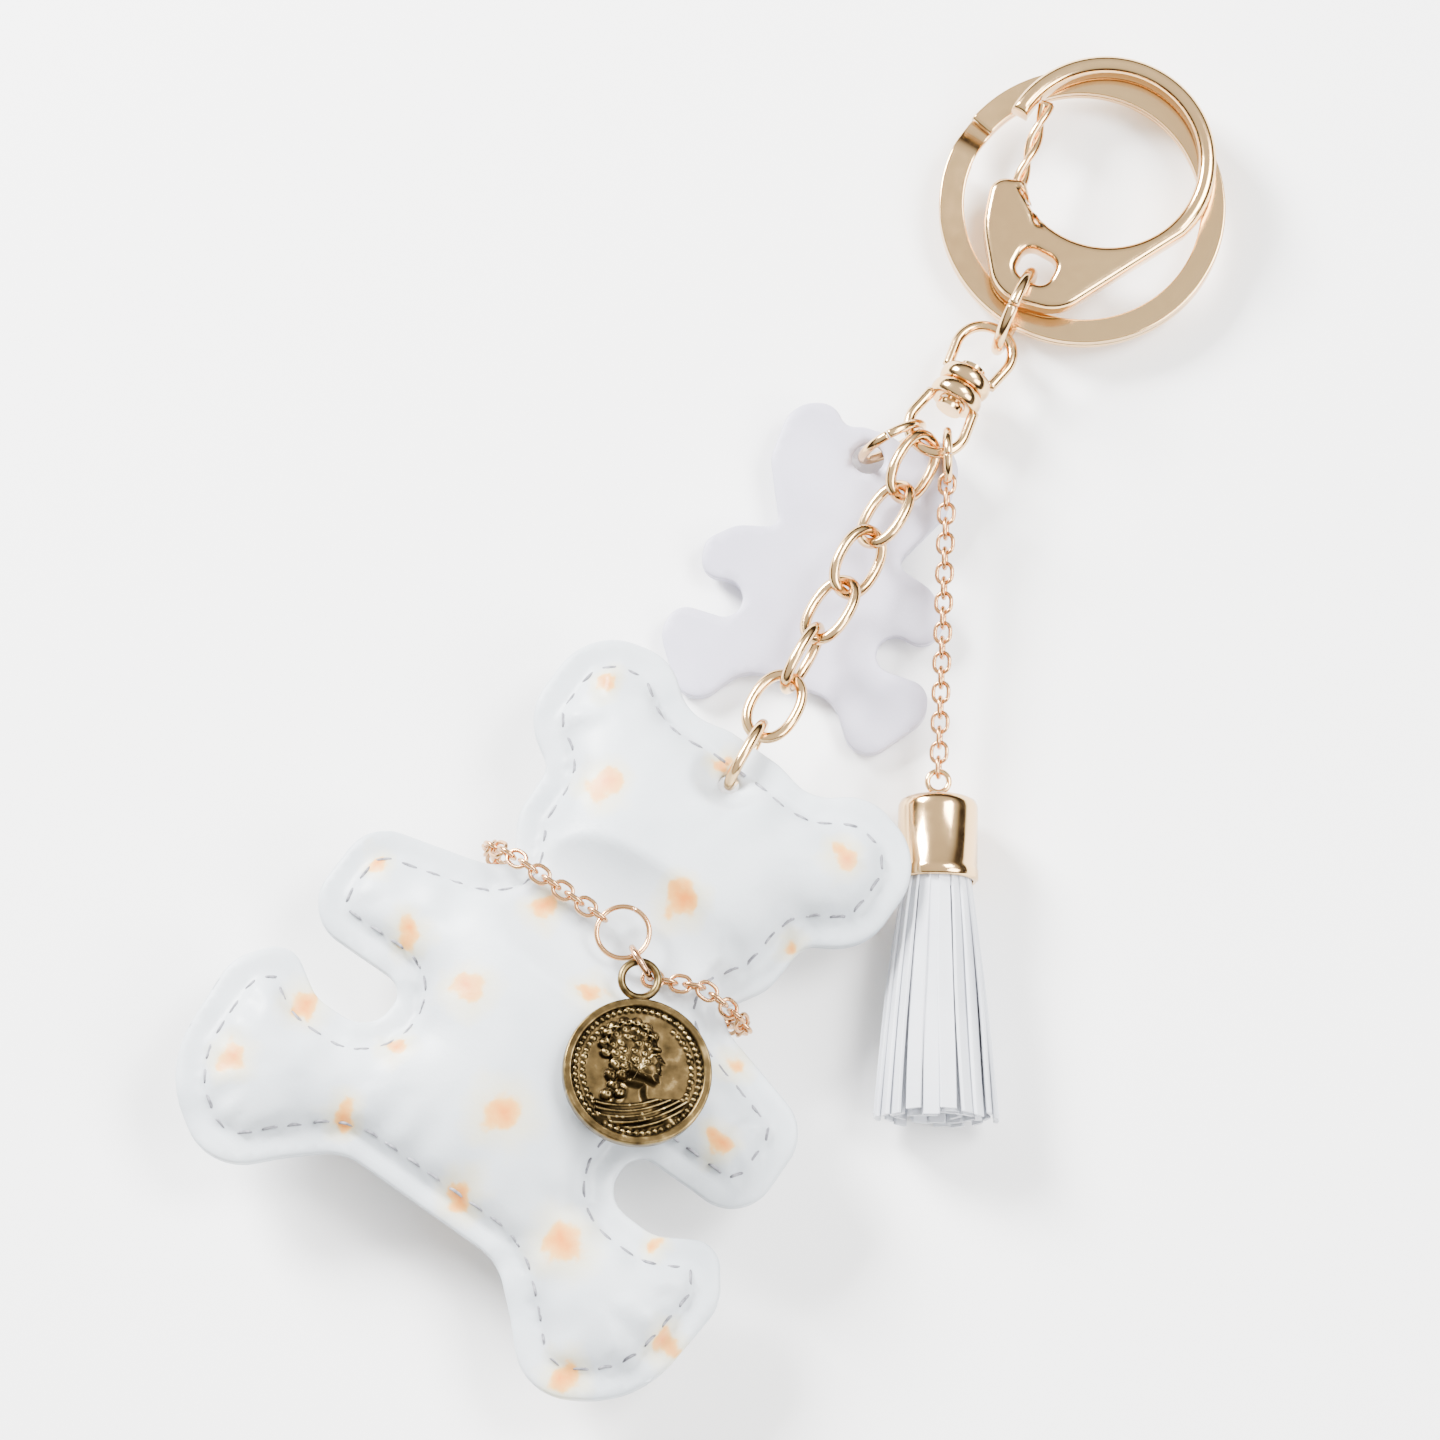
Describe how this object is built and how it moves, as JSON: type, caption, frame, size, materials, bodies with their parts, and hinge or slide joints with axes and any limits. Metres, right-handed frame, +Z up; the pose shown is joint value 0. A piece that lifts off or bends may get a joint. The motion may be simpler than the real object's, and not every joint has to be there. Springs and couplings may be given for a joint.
{
  "type": "keychain",
  "caption": "Keychain with split ring, snap hook, swivel and cable chain carrying a padded bear with a necklace and coin, a flat bear tag and a tassel on a fine chain",
  "frame": {"origin": "On the axis of the split ring, in the plane of the table the keychain lies on", "axes": "+X across the keychain to the right as it lies with its rings at the far end, +Y along it toward the rings, +Z up from the table"},
  "size_m": [0.1077, 0.1421, 0.0168],
  "materials": {
    "gold": "polished pale rose gold plating",
    "antique_gold": "antique gold, darkened in the recesses",
    "leatherette": "smooth white artificial leather with soft peach blossoms",
    "wadding": "soft fibre",
    "thread": "grey sewing thread",
    "fringe": "white artificial leather cut in strips"
  },
  "bodies": {
    "key_ring": {"key_ring": "gold"},
    "upper_ring": {"upper_jump_ring": "gold"},
    "hook": {"hook_body": "gold"},
    "gate": {"hook_gate": "gold"},
    "swivel_upper": {"swivel_upper_eye": "gold"},
    "swivel_lower": {"swivel_lower_eye": "gold", "swivel_rivet": "gold"},
    "tag_ring": {"tag_jump_ring": "gold"},
    "tag": {"tag_front_ply": "leatherette", "tag_back_ply": "leatherette"},
    "tassel_ring": {"tassel_jump_ring": "gold"},
    "fine_1": {"fine_chain_1": "gold"},
    "fine_2": {"fine_chain_2": "gold"},
    "fine_3": {"fine_chain_3": "gold"},
    "fine_4": {"fine_chain_4": "gold"},
    "fine_5": {"fine_chain_5": "gold"},
    "tassel": {"tassel_eye": "gold", "tassel_cap": "gold", "tassel_fringe": "fringe"},
    "link_1": {"chain_link_1": "gold"},
    "link_2": {"chain_link_2": "gold"},
    "link_3": {"chain_link_3": "gold"},
    "link_4": {"chain_link_4": "gold"},
    "link_5": {"chain_link_5": "gold"},
    "link_6": {"chain_link_6": "gold"},
    "link_7": {"chain_link_7": "gold"},
    "bear": {"bear_front_cover": "leatherette", "bear_back_cover": "leatherette", "bear_stuffing": "wadding", "bear_thread": "thread", "necklace_chain": "gold", "necklace_ring": "gold"},
    "coin_ring": {"coin_ring": "gold"},
    "coin": {"coin": "antique_gold"}
  },
  "joints": [
    {"name": "upper_ring_on_key_ring", "type": "hinge", "parent": "key_ring", "child": "upper_ring", "pos_m": [-0.00712, -0.01171, 0.00265], "axis": [-0.8545, 0.5195, 0], "range_deg": [-15, 0]},
    {"name": "hook_on_upper_ring", "type": "hinge", "parent": "upper_ring", "child": "hook", "pos_m": [-0.00544, -0.00801, 0.005], "axis": [0, 0, 1], "range_deg": [-20, 20]},
    {"name": "gate_pivot", "type": "hinge", "parent": "hook", "child": "gate", "pos_m": [-0.0079, -0.0019, 0.00525], "axis": [0, 0, -1], "range_deg": [0, 35], "stiffness_Nm_per_rad": 0.002},
    {"name": "swivel_on_upper_ring", "type": "hinge", "parent": "upper_ring", "child": "swivel_upper", "pos_m": [-0.009, -0.0135, 0.0032], "axis": [-0.8704, 0.4924, 0], "range_deg": [-15, 20]},
    {"name": "swivel_spin", "type": "hinge", "parent": "swivel_upper", "child": "swivel_lower", "pos_m": [-0.01293, -0.02028, 0.00437], "axis": [-0.496, -0.8556, 0.1478], "continuous": true},
    {"name": "tag_ring_on_swivel", "type": "hinge", "parent": "swivel_lower", "child": "tag_ring", "pos_m": [-0.01717, -0.0244, 0.00448], "axis": [0, 0, -1], "range_deg": [-3, 25]},
    {"name": "tag_on_ring", "type": "hinge", "parent": "tag_ring", "child": "tag", "pos_m": [-0.02253, -0.02727, 0.00235], "axis": [0, 0, -1], "range_deg": [0, 25]},
    {"name": "tassel_ring_on_swivel", "type": "hinge", "parent": "swivel_lower", "child": "tassel_ring", "pos_m": [-0.01444, -0.02668, 0.00609], "axis": [0, 0, 1], "range_deg": [0, 20]},
    {"name": "fine_chain_hinge_1", "type": "hinge", "parent": "tassel_ring", "child": "fine_1", "pos_m": [-0.01447, -0.03083, 0.00642], "axis": [0, 0, -1], "range_deg": [-12, 0]},
    {"name": "fine_chain_hinge_2", "type": "hinge", "parent": "fine_1", "child": "fine_2", "pos_m": [-0.01468, -0.03682, 0.00599], "axis": [-0.9994, 0.0349, 0], "range_deg": [-8, 0]},
    {"name": "fine_chain_hinge_3", "type": "hinge", "parent": "fine_2", "child": "fine_3", "pos_m": [-0.0149, -0.04304, 0.00554], "axis": [0, 0, -1], "range_deg": [-12, 0]},
    {"name": "fine_chain_hinge_4", "type": "hinge", "parent": "fine_3", "child": "fine_4", "pos_m": [-0.01511, -0.04926, 0.0051], "axis": [-0.9994, 0.0349, 0], "range_deg": [-8, 0]},
    {"name": "fine_chain_hinge_5", "type": "hinge", "parent": "fine_4", "child": "fine_5", "pos_m": [-0.01533, -0.05548, 0.00465], "axis": [0, 0, -1], "range_deg": [-12, 0]},
    {"name": "tassel_on_chain", "type": "hinge", "parent": "fine_5", "child": "tassel", "pos_m": [-0.01554, -0.06102, 0.0042], "axis": [0, 0, 1], "range_deg": [0, 15]},
    {"name": "chain_hinge_1", "type": "hinge", "parent": "swivel_lower", "child": "link_1", "pos_m": [-0.01686, -0.02706, 0.00554], "axis": [0.8652, -0.5015, 0], "range_deg": [-5, 0]},
    {"name": "chain_hinge_2", "type": "hinge", "parent": "link_1", "child": "link_2", "pos_m": [-0.01969, -0.03217, 0.00592], "axis": [0.5966, -0.3822, -0.7057], "range_deg": [-15, 5]},
    {"name": "chain_hinge_3", "type": "hinge", "parent": "link_2", "child": "link_3", "pos_m": [-0.02257, -0.03736, 0.00629], "axis": [0.6898, -0.3356, 0.6415], "range_deg": [-15, 0]},
    {"name": "chain_hinge_4", "type": "hinge", "parent": "link_3", "child": "link_4", "pos_m": [-0.02545, -0.04256, 0.00667], "axis": [0.6702, -0.4163, -0.6144], "range_deg": [-15, 10]},
    {"name": "chain_hinge_5", "type": "hinge", "parent": "link_4", "child": "link_5", "pos_m": [-0.02833, -0.04775, 0.00705], "axis": [0.7341, -0.3652, 0.5724], "range_deg": [-15, 0]},
    {"name": "chain_hinge_6", "type": "hinge", "parent": "link_5", "child": "link_6", "pos_m": [-0.03121, -0.05294, 0.00743], "axis": [0.1215, -0.139, -0.9828], "range_deg": [0, 15]},
    {"name": "chain_hinge_7", "type": "hinge", "parent": "link_6", "child": "link_7", "pos_m": [-0.03409, -0.05813, 0.00781], "axis": [0.874, -0.4781, 0.087], "range_deg": [-15, 0]},
    {"name": "bear_on_chain", "type": "hinge", "parent": "link_7", "child": "bear", "pos_m": [-0.03696, -0.06333, 0.00819], "axis": [0, 0, 1], "range_deg": [-15, 0]},
    {"name": "coin_ring_on_necklace", "type": "hinge", "parent": "bear", "child": "coin_ring", "pos_m": [-0.04632, -0.08219, 0.0134], "axis": [0.8634, 0.5045, 0], "range_deg": [-5, 0]},
    {"name": "coin_on_ring", "type": "hinge", "parent": "coin_ring", "child": "coin", "pos_m": [-0.04597, -0.08316, 0.01519], "axis": [0.9997, -0.0262, 0], "range_deg": [-12, 0]}
  ]
}
